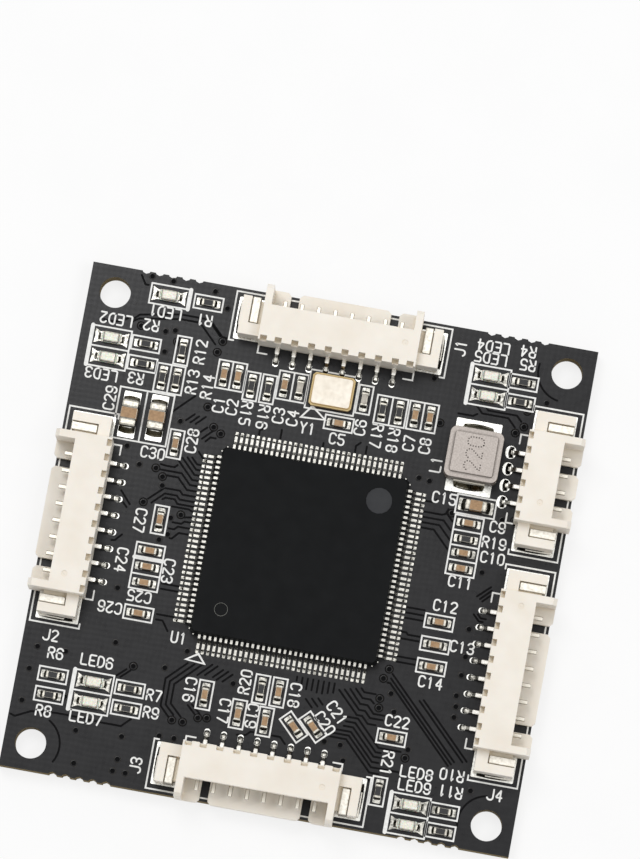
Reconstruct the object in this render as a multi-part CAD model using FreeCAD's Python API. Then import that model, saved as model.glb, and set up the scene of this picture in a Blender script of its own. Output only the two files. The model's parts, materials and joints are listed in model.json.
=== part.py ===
"""Ethernet switch module: a square circuit board that carries a 128-lead switch chip,
four 8-way port headers, a 4-way power header, a crystal, a power inductor, LEDs and chip parts.

Millimetres. The origin is the middle of the board's underside, X to the board's right,
Y to its top edge and Z up.
"""
import os

import FreeCAD
import Part
from math import cos, pi, radians, sin, sqrt

Vector = FreeCAD.Vector
os.makedirs("parts", exist_ok=True)

# Circuit board
board_size = 38.0
board_thickness = 1.6
hole_diameter = 2.3
hole_inset = 2.0
bite_diameter = 0.7
bite_depth = 0.2
bite_pitch = 1.0
bites_in_group = 5
bite_group_inset = 6.0
bite_sides = 8

# Switch chip
chip_size = 14.0
chip_thickness = 1.4
chip_standoff = 0.1
chip_draft = 0.13
chip_corner_cut = 0.22
lead_pitch = 0.4
leads_per_side = 32
lead_width = 0.18
lead_thickness = 0.13
lead_reach = 1.0
lead_shoulder = 0.25
lead_foot = 0.45
pin_mark_diameter = 0.95
pin_mark_inset = 1.9
ejector_mark_diameter = 1.95
ejector_mark_inset = 1.85
mark_depth = 0.06
mark_sides = 16

# Header housing
port_ways = 8
power_ways = 4
power_header_inset = 10.4
header_spacing = 14.45
contact_pitch = 1.25
housing_margin = 1.5
housing_depth = 4.2
housing_height = 3.4
housing_overhang = 0.2
top_plate_depth = 2.7
top_plate_thickness = 0.5
floor_thickness = 0.5
rear_wall = 1.3
end_wall = 0.55
end_wall_bevel = 0.3
rear_notch_width = 0.5
rear_notch_depth = 0.35
rear_notch_height = 0.8
end_notch_inset = 0.4
key_slot_width = 0.62
key_slot_bevel = 0.25
key_slot_rear = 1.9
ear_length = 1.62
ear_rear = 0.35
ear_depth = 2.65
ear_height = 2.2
ear_slot_width = 0.95
ear_slot_rear = 1.25
ear_slot_depth = 0.45

# Header contacts and fitting nails
contact_width = 0.32
contact_thickness = 0.25
contact_height = 1.5
contact_setback = 0.8
contact_leg = 0.5
contact_tail_height = 0.45
contact_tail = 0.4
contact_reach = 1.1
contact_clearance = 0.02
nail_thickness = 0.25
nail_width = 0.62
nail_clearance = 0.05
nail_foot_overhang = 0.15
nail_foot_depth = 1.9

# Crystal
crystal_offset = 0.15
crystal_foot_gap = 0.15
crystal_length = 3.2
crystal_width = 2.5
crystal_base_height = 0.55
crystal_lid_height = 0.2
crystal_lid_rim = 0.12
crystal_corner_cut = 0.2
crystal_lid_radius = 0.25

# Power inductor, and its share of the free width between the north row and the power contacts
inductor_share = 0.7
inductor_chip_gap = 2.6
inductor_length = 4.0
inductor_width = 3.8
inductor_height = 1.9
inductor_corner_radius = 0.5
inductor_plateau_rim = 0.4
inductor_plateau_cut = 0.08
inductor_plateau_height = 0.2
inductor_terminal_width = 2.4
inductor_terminal_thickness = 0.15
inductor_terminal_rise = 0.9
inductor_terminal_wrap = 0.9

# Chip parts: length, width, height and length of each end cap
small_chip_length = 1.0
small_chip_width = 0.5
small_cap_length = 0.18
resistor_height = 0.35
capacitor_height = 0.5
filter_length = 1.6
filter_width = 0.8
filter_height = 0.8
filter_cap_length = 0.35
supply_length = 2.0
supply_width = 1.25
supply_height = 1.25
supply_cap_length = 0.62
cap_plating = 0.02
led_length = 1.6
led_width = 0.8
led_base_height = 0.25
led_lens_height = 0.4
led_lens_length = 1.15
led_lens_draft = 0.1

# Rows of chip parts: how far each stands from the contacts' feet, the chip's lead tips or its neighbour
outer_row_gap = 1.5
inner_row_gap = 2.0
far_column_gap = 2.1
near_column_gap = 2.95
chip_row_gap = 2.1
north_row_end = 7.6
crystal_capacitor_gap = 0.95
filter_inductor_gap = 1.5
filter_offset = 0.3
led_row_pitch = 1.5
corner_resistor_share = 0.39

# Lines that the parts are set out from
half = board_size / 2
board_top = board_thickness
hole_line = half - hole_inset
lead_tip_line = chip_size / 2 + lead_reach
housing_rear_line = half + housing_overhang - housing_depth
contact_foot_line = housing_rear_line - contact_reach
power_header_place = power_header_inset - half


def box(x0, x1, y0, y1, z0, z1):
    return Part.makeBox(x1 - x0, y1 - y0, z1 - z0, Vector(x0, y0, z0))


def placed(shape, x, y, turn=0.0, z=board_top):
    """The shape turned about its own origin and set on the board."""
    moved = shape.copy()
    moved.Placement = FreeCAD.Placement(
        Vector(x, y, z), FreeCAD.Rotation(Vector(0, 0, 1), turn))
    return moved


def side_prism(profile, x0, x1):
    """A profile of (y, z) points, run along X from x0 to x1."""
    points = [Vector(x0, y, z) for y, z in profile]
    wire = Part.makePolygon(points + points[:1])
    return Part.Face(wire).extrude(Vector(x1 - x0, 0, 0))


def bent_strip(path, thickness):
    """The outline of a strip of even thickness whose middle line follows (y, z) points."""
    one_side, other_side = [], []
    last = len(path) - 1
    for i, (y, z) in enumerate(path):
        runs = []
        for a, b in ((i - 1, i), (i, i + 1)):
            if a >= 0 and b <= last:
                dy, dz = path[b][0] - path[a][0], path[b][1] - path[a][1]
                length = sqrt(dy * dy + dz * dz)
                runs.append((-dz / length, dy / length))
        ny = sum(run[0] for run in runs)
        nz = sum(run[1] for run in runs)
        reach = thickness / 2 * len(runs) / (ny * ny + nz * nz)
        one_side.append((y + ny * reach, z + nz * reach))
        other_side.append((y - ny * reach, z - nz * reach))
    return one_side + other_side[::-1]


def rounded_block(length, width, height, radius):
    """An upright block with rounded corners, centred on the origin, from z = 0."""
    block = box(-length / 2, length / 2, -width / 2, width / 2, 0, height)
    upright = [edge for edge in block.Edges if edge.BoundBox.ZLength > height / 2]
    return block.makeFillet(min(radius, length / 2.1, width / 2.1), upright)


def cut_corner_outline(length, width, corner_cut, z):
    a, b = length / 2, width / 2
    c, d = a - corner_cut, b - corner_cut
    corners = [(c, -b), (a, -d), (a, d), (c, b), (-c, b), (-a, d), (-a, -d), (-c, -b)]
    points = [Vector(x, y, z) for x, y in corners]
    return Part.makePolygon(points + points[:1])


def cut_corner_block(length, width, height, corner_cut):
    outline = cut_corner_outline(length, width, corner_cut, 0)
    return Part.Face(outline).extrude(Vector(0, 0, height))


def many_sided(x, y, z, diameter, sides, height):
    """An upright round cutter with flat sides, standing on z."""
    step = 2 * pi / sides
    points = [Vector(x + diameter / 2 * cos(i * step), y + diameter / 2 * sin(i * step), z)
              for i in range(sides)]
    return Part.Face(Part.makePolygon(points + points[:1])).extrude(Vector(0, 0, height))


def save(node, *solids):
    shape = solids[0] if len(solids) == 1 else Part.makeCompound(list(solids))
    shape.exportStep("parts/" + node + ".step")


# Circuit board: drilled at the corners, with rows of break-off holes halved by its top and bottom edges
def circuit_board():
    board = box(-half, half, -half, half, 0, board_thickness)
    cutters = []
    for x in (-hole_line, hole_line):
        for y in (-hole_line, hole_line):
            cutters.append(Part.makeCylinder(hole_diameter / 2, board_thickness, Vector(x, y, 0)))
    bite_line = half + bite_diameter / 2 - bite_depth
    for group in (bite_group_inset - half, half - bite_group_inset):
        for i in range(bites_in_group):
            x = group + (i - (bites_in_group - 1) / 2) * bite_pitch
            cutters += [many_sided(x, y, 0, bite_diameter, bite_sides, board_thickness)
                        for y in (-bite_line, bite_line)]
    return board.cut(cutters)


save("circuit_board", circuit_board())


# Switch chip: the moulding parts at the lead frame and drafts away from it both ways
lead_middle = chip_standoff + chip_thickness / 2


def chip_body():
    drafted = chip_size - 2 * chip_draft
    top = chip_standoff + chip_thickness
    sections = [(drafted, chip_standoff), (chip_size, lead_middle - lead_thickness / 2),
                (chip_size, lead_middle + lead_thickness / 2), (drafted, top)]
    wires = [cut_corner_outline(size, size, chip_corner_cut, z) for size, z in sections]
    body = Part.makeLoft(wires, True, True)
    pin_mark = pin_mark_inset - drafted / 2
    ejector_mark = drafted / 2 - ejector_mark_inset
    marks = [many_sided(place, place, top - mark_depth, diameter, mark_sides, mark_depth)
             for diameter, place in ((pin_mark_diameter, pin_mark),
                                     (ejector_mark_diameter, ejector_mark))]
    return body.cut(marks)


def chip_leads():
    root, toe = chip_size / 2, lead_tip_line
    foot_middle = lead_thickness / 2
    path = [(root, lead_middle), (root + lead_shoulder, lead_middle),
            (toe - lead_foot, foot_middle), (toe, foot_middle)]
    lead = side_prism(bent_strip(path, lead_thickness), -lead_width / 2, lead_width / 2)
    leads = []
    for turn in (0, 90, 180, 270):
        across = Vector(cos(radians(turn)), sin(radians(turn)), 0)
        for i in range(leads_per_side):
            step = across * ((i - (leads_per_side - 1) / 2) * lead_pitch)
            leads.append(placed(lead, step.x, step.y, turn))
    return leads


save("switch_chip_body", placed(chip_body(), 0, 0))
save("switch_chip_leads", *chip_leads())


# Headers: each is built with its row along X, its mating face to +Y and its rear face at y = 0
def contact_path():
    foot_middle = contact_thickness / 2
    return [(housing_depth - contact_setback, contact_height), (contact_leg, contact_height),
            (contact_leg, contact_tail_height), (-contact_tail, contact_tail_height),
            (-contact_tail - contact_tail_height + foot_middle, foot_middle),
            (-contact_reach, foot_middle)]


def contact_places(ways):
    return [(i - (ways - 1) / 2) * contact_pitch for i in range(ways)]


def contact(x, clearance=0.0):
    outline = bent_strip(contact_path(), contact_thickness + 2 * clearance)
    side = contact_width / 2 + clearance
    return side_prism(outline, x - side, x + side)


def housing_ends(ways):
    body_end = (ways - 1) * contact_pitch / 2 + housing_margin
    return body_end, body_end + ear_length


def end_wall_plate(x0, x1):
    """A full-depth wall with its upper front corner bevelled."""
    return side_prism(
        [(0, 0), (housing_depth, 0), (housing_depth, housing_height - end_wall_bevel),
         (housing_depth - end_wall_bevel, housing_height), (0, housing_height)], x0, x1)


def key_slot(x):
    """A slot through the floor, open to the front, that widens at its mouth."""
    side, mouth = key_slot_width / 2, key_slot_width / 2 + key_slot_bevel
    outline = [(x - mouth, housing_depth), (x - side, housing_depth - key_slot_bevel),
               (x - side, key_slot_rear), (x + side, key_slot_rear),
               (x + side, housing_depth - key_slot_bevel), (x + mouth, housing_depth)]
    points = [Vector(px, py, 0) for px, py in outline]
    return Part.Face(Part.makePolygon(points + points[:1])).extrude(Vector(0, 0, floor_thickness))


def ear(side, body_end, ear_end):
    """A low block beside the housing, with a slot on top and a groove down its front for the nail."""
    inner, outer = sorted((side * body_end, side * ear_end))
    slot_inner, slot_outer = sorted((side * body_end, side * (body_end + ear_slot_width)))
    groove_rear = ear_rear + ear_depth
    front = groove_rear + nail_thickness
    block = box(inner, outer, ear_rear, front, nail_thickness, ear_height)
    slot = box(slot_inner, slot_outer, ear_slot_rear, front, ear_height - ear_slot_depth, ear_height)
    groove = box(slot_inner, slot_outer, groove_rear, front, nail_thickness, ear_height)
    return block.cut([slot, groove])


def header_housing(ways):
    body_end, ear_end = housing_ends(ways)
    plate_under = housing_height - top_plate_thickness
    shroud = side_prism(
        [(0, 0), (housing_depth, 0), (housing_depth, floor_thickness), (rear_wall, floor_thickness),
         (rear_wall, plate_under), (top_plate_depth, plate_under),
         (top_plate_depth, housing_height), (0, housing_height)],
        end_wall - body_end, body_end - end_wall)
    pieces = [end_wall_plate(-body_end, end_wall - body_end), end_wall_plate(body_end - end_wall, body_end),
              ear(-1, body_end, ear_end), ear(1, body_end, ear_end)]
    body = shroud.fuse(pieces)
    places = contact_places(ways)
    notch_places = [end_notch_inset - body_end] + places + [body_end - end_notch_inset]
    cutters = [contact(x, contact_clearance) for x in places]
    for x in notch_places:
        cutters.append(box(x - rear_notch_width / 2, x + rear_notch_width / 2, 0, rear_notch_depth,
                           housing_height - rear_notch_height, housing_height))
    for x in (places[0] + contact_pitch / 2, places[-1] - contact_pitch / 2):
        cutters.append(key_slot(x))
    return body.cut(cutters).removeSplitter()


def fitting_nail(side, body_end, ear_end):
    """A folded strip: it lies in the ear's slot, drops down the groove and turns in under the ear."""
    strip_middle = ear_height - ear_slot_depth + nail_thickness / 2
    foot_middle = nail_thickness / 2
    front_middle = ear_rear + ear_depth + nail_thickness / 2
    foot_rear = front_middle - nail_foot_depth
    path = [(ear_slot_rear + nail_clearance, strip_middle), (front_middle, strip_middle),
            (front_middle, foot_middle), (foot_rear, foot_middle)]
    strip_outer = body_end + ear_slot_width - nail_clearance
    strip_inner = strip_outer - nail_width
    x0, x1 = sorted((side * strip_inner, side * strip_outer))
    strip = side_prism(bent_strip(path, nail_thickness), x0, x1)
    x0, x1 = sorted((side * strip_outer, side * (ear_end + nail_foot_overhang)))
    foot = box(x0, x1, foot_rear, front_middle, 0, nail_thickness)
    return strip.fuse(foot).removeSplitter()


# Name, number of ways, turn from the top edge, place along that edge
headers = [
    ("north_port", port_ways, 0, 0.0),
    ("west_port", port_ways, 90, 0.0),
    ("south_port", port_ways, 180, 0.0),
    ("east_port", port_ways, 270, power_header_place + header_spacing),
    ("power_inlet", power_ways, 270, power_header_place),
]
for name, ways, turn, along in headers:
    body_end, ear_end = housing_ends(ways)
    rotation = FreeCAD.Rotation(Vector(0, 0, 1), turn)
    seat = rotation.multVec(Vector(along, housing_rear_line, 0))

    def seated(shape):
        return placed(shape, seat.x, seat.y, turn)

    save(name + "_housing", seated(header_housing(ways)))
    save(name + "_contacts", *[seated(contact(x)) for x in contact_places(ways)])
    save(name + "_nails", *[seated(fitting_nail(side, body_end, ear_end)) for side in (-1, 1)])


# Crystal, behind the north port's contacts: a ceramic base with cut corners and a metal lid
crystal_y = contact_foot_line - crystal_foot_gap - crystal_width / 2
crystal_base = cut_corner_block(crystal_length, crystal_width, crystal_base_height, crystal_corner_cut)
crystal_lid = rounded_block(crystal_length - 2 * crystal_lid_rim, crystal_width - 2 * crystal_lid_rim,
                            crystal_lid_height, crystal_lid_radius)
save("crystal_base", placed(crystal_base, crystal_offset, crystal_y))
save("crystal_lid", placed(crystal_lid, crystal_offset, crystal_y, 0, board_top + crystal_base_height))


# Power inductor: a pressed core with a raised top, and tinned terminals folded in under both ends
inductor_lane_start = north_row_end + small_chip_width / 2
inductor_slack = contact_foot_line - inductor_lane_start - inductor_length
inductor_x = inductor_lane_start + inductor_length / 2 + inductor_share * inductor_slack
inductor_y = chip_size / 2 + inductor_chip_gap


def inductor_core():
    lift = inductor_terminal_thickness
    block = rounded_block(inductor_length, inductor_width, inductor_height - lift, inductor_corner_radius)
    plateau = cut_corner_block(inductor_length - 2 * inductor_plateau_rim,
                               inductor_width - 2 * inductor_plateau_rim,
                               inductor_plateau_height, inductor_plateau_cut)
    plateau.translate(Vector(0, 0, inductor_height - lift))
    return block.fuse(plateau)


def inductor_terminal(turn):
    t = inductor_terminal_thickness
    end_middle = inductor_width / 2 + t / 2
    path = [(end_middle, inductor_terminal_rise), (end_middle, t / 2),
            (end_middle - inductor_terminal_wrap, t / 2)]
    strip = side_prism(bent_strip(path, t), -inductor_terminal_width / 2, inductor_terminal_width / 2)
    return placed(strip, inductor_x, inductor_y, turn)


save("inductor_core", placed(inductor_core(), inductor_x, inductor_y, 0,
                             board_top + inductor_terminal_thickness))
save("inductor_terminals", inductor_terminal(0), inductor_terminal(180))


# Chip parts: a body between two plated end caps that stand a little proud of it, on its X axis
def chip_part(length, width, height, cap_length):
    end, neck = length / 2, length / 2 - cap_length
    dip = height - cap_plating
    profile = [(-end, 0), (end, 0), (end, height), (neck, height), (neck, dip),
               (-neck, dip), (-neck, height), (-end, height)]
    points = [Vector(x, -width / 2, z) for x, z in profile]
    face = Part.Face(Part.makePolygon(points + points[:1]))
    return face.extrude(Vector(0, width, 0))


def led():
    end, lens = led_length / 2, led_lens_length / 2
    top = led_base_height + led_lens_height
    profile = [(-end, 0), (end, 0), (end, led_base_height), (lens, led_base_height),
               (lens - led_lens_draft, top), (led_lens_draft - lens, top),
               (-lens, led_base_height), (-end, led_base_height)]
    points = [Vector(x, -led_width / 2, z) for x, z in profile]
    face = Part.Face(Part.makePolygon(points + points[:1]))
    return face.extrude(Vector(0, led_width, 0))


resistor = chip_part(small_chip_length, small_chip_width, resistor_height, small_cap_length)
capacitor = chip_part(small_chip_length, small_chip_width, capacitor_height, small_cap_length)
filter_capacitor = chip_part(filter_length, filter_width, filter_height, filter_cap_length)
supply_capacitor = chip_part(supply_length, supply_width, supply_height, supply_cap_length)

# LED blocks in the corners: place of the upper LED, drop of each row below it, offsets of a row's resistors
one_row = [0.0]
two_rows = [0.0, led_row_pitch]
led_blocks = [
    (6.0 - half, half - 1.55, one_row, [2.95]),
    (2.35 - half, half - 5.4, two_rows, [2.6]),
    (half - 7.5, half - 3.25, two_rows, [2.45]),
    (5.75 - half, 7.2 - half, two_rows, [-3.05, 2.7]),
    (half - 7.75, 2.45 - half, two_rows, [2.5]),
]
led_places = []
resistor_places = []
for x, y, drops, offsets in led_blocks:
    for drop in drops:
        led_places.append((x, y - drop, 0))
        resistor_places += [(x + offset, y - drop, 0) for offset in offsets]

# The last resistor stands between the south port's right ear and the LED block beside it
ear_side = housing_ends(port_ways)[1] + nail_foot_overhang
led_side = led_places[-1][0] - led_length / 2
corner_resistor_x = ear_side + corner_resistor_share * (led_side - ear_side)

# Inner and outer rows behind the headers, and a column beside each side of the chip
outer_row = contact_foot_line - outer_row_gap
inner_row = contact_foot_line - inner_row_gap
near_column = contact_foot_line - near_column_gap
far_column = contact_foot_line - far_column_gap
chip_row = lead_tip_line + chip_row_gap
crystal_row = crystal_y - crystal_width / 2 - crystal_capacitor_gap
filter_row = inductor_y - inductor_width / 2 - inductor_terminal_thickness - filter_inductor_gap
resistor_places += [
    (7.7 - half, half - 5.4, 90), (7.65 - half, half - 7.65, 90), (6.6 - half, half - 7.65, 90),
    (-5.8, inner_row, 90), (-4.55, inner_row, 90), (4.05, inner_row, 90), (5.3, inner_row, 90),
    (far_column, 3.5, 0), (-1.05, -chip_row, 90), (corner_resistor_x, 3.05 - half, 90),
]
capacitor_groups = {
    "north_capacitors": [
        (-7.95, outer_row, 90), (-6.9, outer_row, 90), (-3.4, outer_row, 90), (-2.25, outer_row, 90),
        (2.6, outer_row, 90), (6.5, inner_row, 90), (north_row_end, inner_row, 90), (1.05, crystal_row, 0)],
    "east_capacitors": [
        (far_column, 4.7, 0), (far_column, 2.45, 0), (far_column, 1.3, 0),
        (near_column, -2.9, 0), (near_column, -4.6, 0), (near_column, -6.25, 0)],
    "south_capacitors": [
        (-5.05, 0.65 - inner_row, 90), (-2.4, 0.2 - outer_row, 90), (0.25, -chip_row, 90),
        (-0.35, -outer_row, 90), (1.8, -outer_row, -45), (3.2, 0.25 - outer_row, -45),
        (9.0, -inner_row, 0)],
    "west_capacitors": [
        (-near_column, -1.5, 0), (-near_column, -2.7, 0), (-near_column, -3.9, 0), (-near_column, -6.2, 0),
        (0.3 - near_column, 0.9, 90), (0.4 - near_column, 6.65, 90)],
}
for i, place in enumerate(led_places):
    save("led_%d" % (i + 1), placed(led(), *place))
for i, place in enumerate(resistor_places):
    save("resistor_%d" % (i + 1), placed(resistor, *place))
for node, places in capacitor_groups.items():
    save(node, *[placed(capacitor, *place) for place in places])
save("filter_capacitor", placed(filter_capacitor, far_column + filter_offset, filter_row))
for i, (x, y) in enumerate([(4.7 - half, half - 10.8), (6.75 - half, half - 10.7)]):
    save("supply_capacitor_%d" % (i + 1), placed(supply_capacitor, x, y, 90))
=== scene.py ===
import json
from collections import namedtuple
from math import atan2, cos, pi, radians, sin

import bmesh
import bpy
from mathutils import Matrix, Vector


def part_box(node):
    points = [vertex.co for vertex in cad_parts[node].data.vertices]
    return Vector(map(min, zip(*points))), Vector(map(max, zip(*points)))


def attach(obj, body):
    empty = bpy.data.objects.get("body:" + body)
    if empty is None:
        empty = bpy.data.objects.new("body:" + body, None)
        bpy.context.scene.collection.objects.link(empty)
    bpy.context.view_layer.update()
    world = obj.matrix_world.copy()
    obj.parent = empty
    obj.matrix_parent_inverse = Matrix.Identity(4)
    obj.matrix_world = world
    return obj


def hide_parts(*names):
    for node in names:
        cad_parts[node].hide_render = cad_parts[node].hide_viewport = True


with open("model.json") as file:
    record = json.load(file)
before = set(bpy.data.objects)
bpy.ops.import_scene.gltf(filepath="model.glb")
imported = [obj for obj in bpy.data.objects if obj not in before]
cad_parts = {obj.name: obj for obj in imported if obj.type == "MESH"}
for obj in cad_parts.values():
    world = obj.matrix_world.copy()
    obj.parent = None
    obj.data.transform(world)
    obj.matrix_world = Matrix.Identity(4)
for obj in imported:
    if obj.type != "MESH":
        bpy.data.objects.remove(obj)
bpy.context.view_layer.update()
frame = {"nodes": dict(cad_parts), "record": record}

# Circuit board: a square of glass-epoxy laminate, drilled at its corners, with copper on both faces
# under a black solder mask. The routed edges, the hole walls and the teeth left by the break-off
# holes show the bare brown laminate and its glass layers.
mm = 0.001
board_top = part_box("circuit_board")[1].z / mm
weave_mm = 0.42
weave_depth_mm = 0.012
glass_layer_mm = 0.2


def linear(colour):
    """An sRGB hex colour as linear red, green, blue and alpha."""
    parts = [int(colour[i:i + 2], 16) / 255 for i in (1, 3, 5)]
    return [c / 12.92 if c <= 0.04045 else ((c + 0.055) / 1.055) ** 2.4 for c in parts] + [1.0]


def add_node(tree, kind, inputs=None, **settings):
    """A shader node with its settings; each input is a value, a hex colour or another node's output."""
    node = tree.nodes.new("ShaderNode" + kind)
    for name, value in settings.items():
        setattr(node, name, value)
    for name, value in (inputs or {}).items():
        if isinstance(value, bpy.types.NodeSocket):
            tree.links.new(value, node.inputs[name])
        else:
            node.inputs[name].default_value = linear(value) if isinstance(value, str) else value
    return node


def new_material(name, tones, sockets, **grains):
    """A material with its constants on the shader's own sockets and a colour that drifts between two tones.
    Each grain is a random pattern: its size in millimetres, the ends of its range and how finely it breaks
    up. The one named tone mixes the two tones, and the others are for the caller to link."""
    material = bpy.data.materials.new(name)
    material.use_nodes = True
    tree = material.node_tree
    shader = tree.nodes["Principled BSDF"]
    for socket, value in sockets.items():
        shader.inputs[socket].default_value = value
    place = add_node(tree, "TexCoord").outputs["Object"]
    patterns = {}
    for use, (grain_mm, low, high, detail) in grains.items():
        noise = add_node(tree, "TexNoise", {"Vector": place, "Scale": 1 / (grain_mm * mm), "Detail": detail})
        spread = {"From Min": 0.3, "From Max": 0.7, "To Min": low, "To Max": high}  # most noise lies there
        ranged = add_node(tree, "MapRange", {"Value": noise.outputs["Fac"], **spread})
        patterns[use] = ranged.outputs["Result"]
    colour = add_node(tree, "Mix", {0: patterns["tone"], 6: tones[0], 7: tones[1]}, data_type="RGBA")
    tree.links.new(colour.outputs[2], shader.inputs["Base Color"])
    return material, tree, shader, colour, patterns


def levelness(tree, start=0.0, full=1.0):
    """How level a face lies, where upright is 0 and flat is 1: none up to start, and one from full on."""
    normal = add_node(tree, "NewGeometry").outputs["Normal"]
    upward_part = add_node(tree, "SeparateXYZ", {"Vector": normal}).outputs["Z"]
    level = add_node(tree, "Math", {0: upward_part}, operation="ABSOLUTE").outputs[0]
    return add_node(tree, "MapRange", {"Value": level, "From Min": start, "From Max": full}).outputs["Result"]


def solder_mask_on_laminate():
    """Screened epoxy mask, satin black; the woven glass under it shows as faint cross lines."""
    wave_repeat_mm = 314.0  # the period of a wave texture at scale 1
    material, tree, shader, mask, grain = new_material(
        "screened_mask_on_laminate", ("#151517", "#1b1b1d"), {"Specular IOR Level": 0.24},
        tone=(4.0, 0, 1, 2), satin=(0.7, -0.04, 0.04, 2))
    place = add_node(tree, "TexCoord").outputs["Object"]
    layers = add_node(tree, "TexWave", {"Vector": place, "Scale": wave_repeat_mm / glass_layer_mm,
                                        "Distortion": 2.0, "Detail": 2.0}, bands_direction="Z")
    core = add_node(tree, "Mix", {0: layers.outputs["Fac"], 6: "#4a3d20", 7: "#84703f"}, data_type="RGBA")
    on_face = add_node(tree, "Math", {0: levelness(tree), 1: 0.5}, operation="GREATER_THAN").outputs[0]
    colour = add_node(tree, "Mix", {0: on_face, 6: core.outputs[2], 7: mask.outputs[2]}, data_type="RGBA")
    tree.links.new(colour.outputs[2], shader.inputs["Base Color"])
    rough = add_node(tree, "MapRange", {"Value": on_face, "To Min": 0.8, "To Max": 0.3})
    rough = add_node(tree, "Math", {0: rough.outputs["Result"], 1: grain["satin"]})
    tree.links.new(rough.outputs[0], shader.inputs["Roughness"])
    threads = [add_node(tree, "TexWave", {"Vector": place, "Scale": wave_repeat_mm / weave_mm,
                                          "Distortion": 3.0, "Detail": 3.0}, bands_direction=run)
               for run in ("X", "Y")]
    cloth = add_node(tree, "Math", {0: threads[0].outputs["Fac"], 1: threads[1].outputs["Fac"]})
    bump = add_node(tree, "Bump",
                    {"Height": cloth.outputs[0], "Strength": 0.11, "Distance": weave_depth_mm * mm})
    tree.links.new(bump.outputs["Normal"], shader.inputs["Normal"])
    return material


board_mask = solder_mask_on_laminate()
board = frame["nodes"]["circuit_board"]
board.data.materials.clear()
board.data.materials.append(board_mask)


# Copper pattern: tracks and ground areas are etched from one foil, so what shows through the mask is
# the narrow gap on each side of a track, blacker than the copper round it. Vias are drilled, plated
# and covered with mask, which leaves a black dimple inside a low ring.
gap_width = 0.15
gap_film = 0.006
film_step = 0.001  # keeps films that cross out of one plane
sink = 0.002  # films and pads begin this far inside the board
west_gaps = [
    [(-9.15, 5.9), (-8.7, 5.45), (-8.3, 5.45)], [(-9.5, 5.85), (-8.7, 5.05), (-8.3, 5.05)],
    [(-9.85, 5.75), (-8.75, 4.65), (-8.3, 4.65)], [(-10.25, 5.65), (-8.85, 4.25), (-8.35, 4.25)],
    [(-11.35, 4.6), (-9.7, 4.6), (-8.95, 3.85), (-8.35, 3.85)],
    [(-10.75, 4.25), (-9.9, 4.25), (-9.1, 3.45), (-8.35, 3.45)],
    [(-11.8, 2.3), (-10.75, 3.3), (-9.6, 3.3), (-9.35, 3.05), (-8.35, 3.05)],
    [(-11.5, 2.05), (-10.65, 2.9), (-9.75, 2.9), (-9.5, 2.65), (-8.35, 2.65)],
    [(-10.75, 2.45), (-10.55, 2.6), (-9.85, 2.6), (-9.6, 2.3), (-8.35, 2.3)],
    [(-9.95, 2.05), (-8.7, 2.05), (-8.35, 1.9)], [(-8.95, 1.4), (-8.4, 1.5)],
    [(-9.7, 0.9), (-9.05, 0.9), (-8.85, 1.1), (-8.35, 1.1)],
    [(-9.9, 0.4), (-9.5, 0.4), (-9.25, 0.65), (-8.35, 0.65)],
    [(-9.7, -0.3), (-9.55, -0.3), (-9.1, 0.2), (-8.35, 0.2)],
    [(-11.35, 5.0), (-10.9, 4.95), (-10.3, 4.95), (-10.1, 5.15)], [(-13.85, 2.55), (-13.05, 1.65)],
    [(-13.55, 1.7), (-13.25, 1.4)], [(-13.9, -1.2), (-13.65, -1.15), (-13.2, -0.65)],
    [(-8.75, 6.4), (-8.3, 5.9)], [(-9.65, -3.7), (-8.35, -3.7)], [(-9.65, -4.1), (-8.35, -4.1)],
    [(-9.6, -6.0), (-8.35, -6.0)], [(-9.6, -6.4), (-9.1, -6.4), (-8.6, -7.1)]]
southwest_gaps = [
    [(-6.7, -9.15), (-8.1, -10.55), (-8.1, -12.6), (-7.4, -13.3)],
    [(-6.2, -9.15), (-7.75, -10.7), (-7.75, -12.45), (-7.05, -13.1)],
    [(-5.65, -9.1), (-7.4, -10.85), (-7.4, -12.3), (-6.5, -13.15)], [(-4.9, -8.95), (-5.85, -9.9)],
    [(-4.5, -9.0), (-5.3, -9.8)], [(-4.05, -9.2), (-4.7, -9.85)], [(-3.65, -9.25), (-4.4, -10.0)],
    [(-3.3, -9.4), (-3.95, -10.05)], [(-6.15, -12.2), (-5.55, -12.75)], [(-5.85, -12.1), (-5.2, -12.65)],
    [(-2.2, -13.7), (-1.55, -13.6), (-1.25, -13.3), (-0.9, -13.3)],
    [(0.35, -13.3), (0.95, -13.3), (1.4, -13.75)], [(-11.05, -10.4), (-11.7, -11.0)],
    [(-10.75, -10.45), (-11.4, -11.05)],
    [(-18.85, -15.15), (-18.5, -15.25), (-17.4, -14.7), (-15.6, -14.5), (-14.6, -14.5), (-12.0, -14.6),
     (-10.7, -14.6), (-10.05, -13.95)]]
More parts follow.
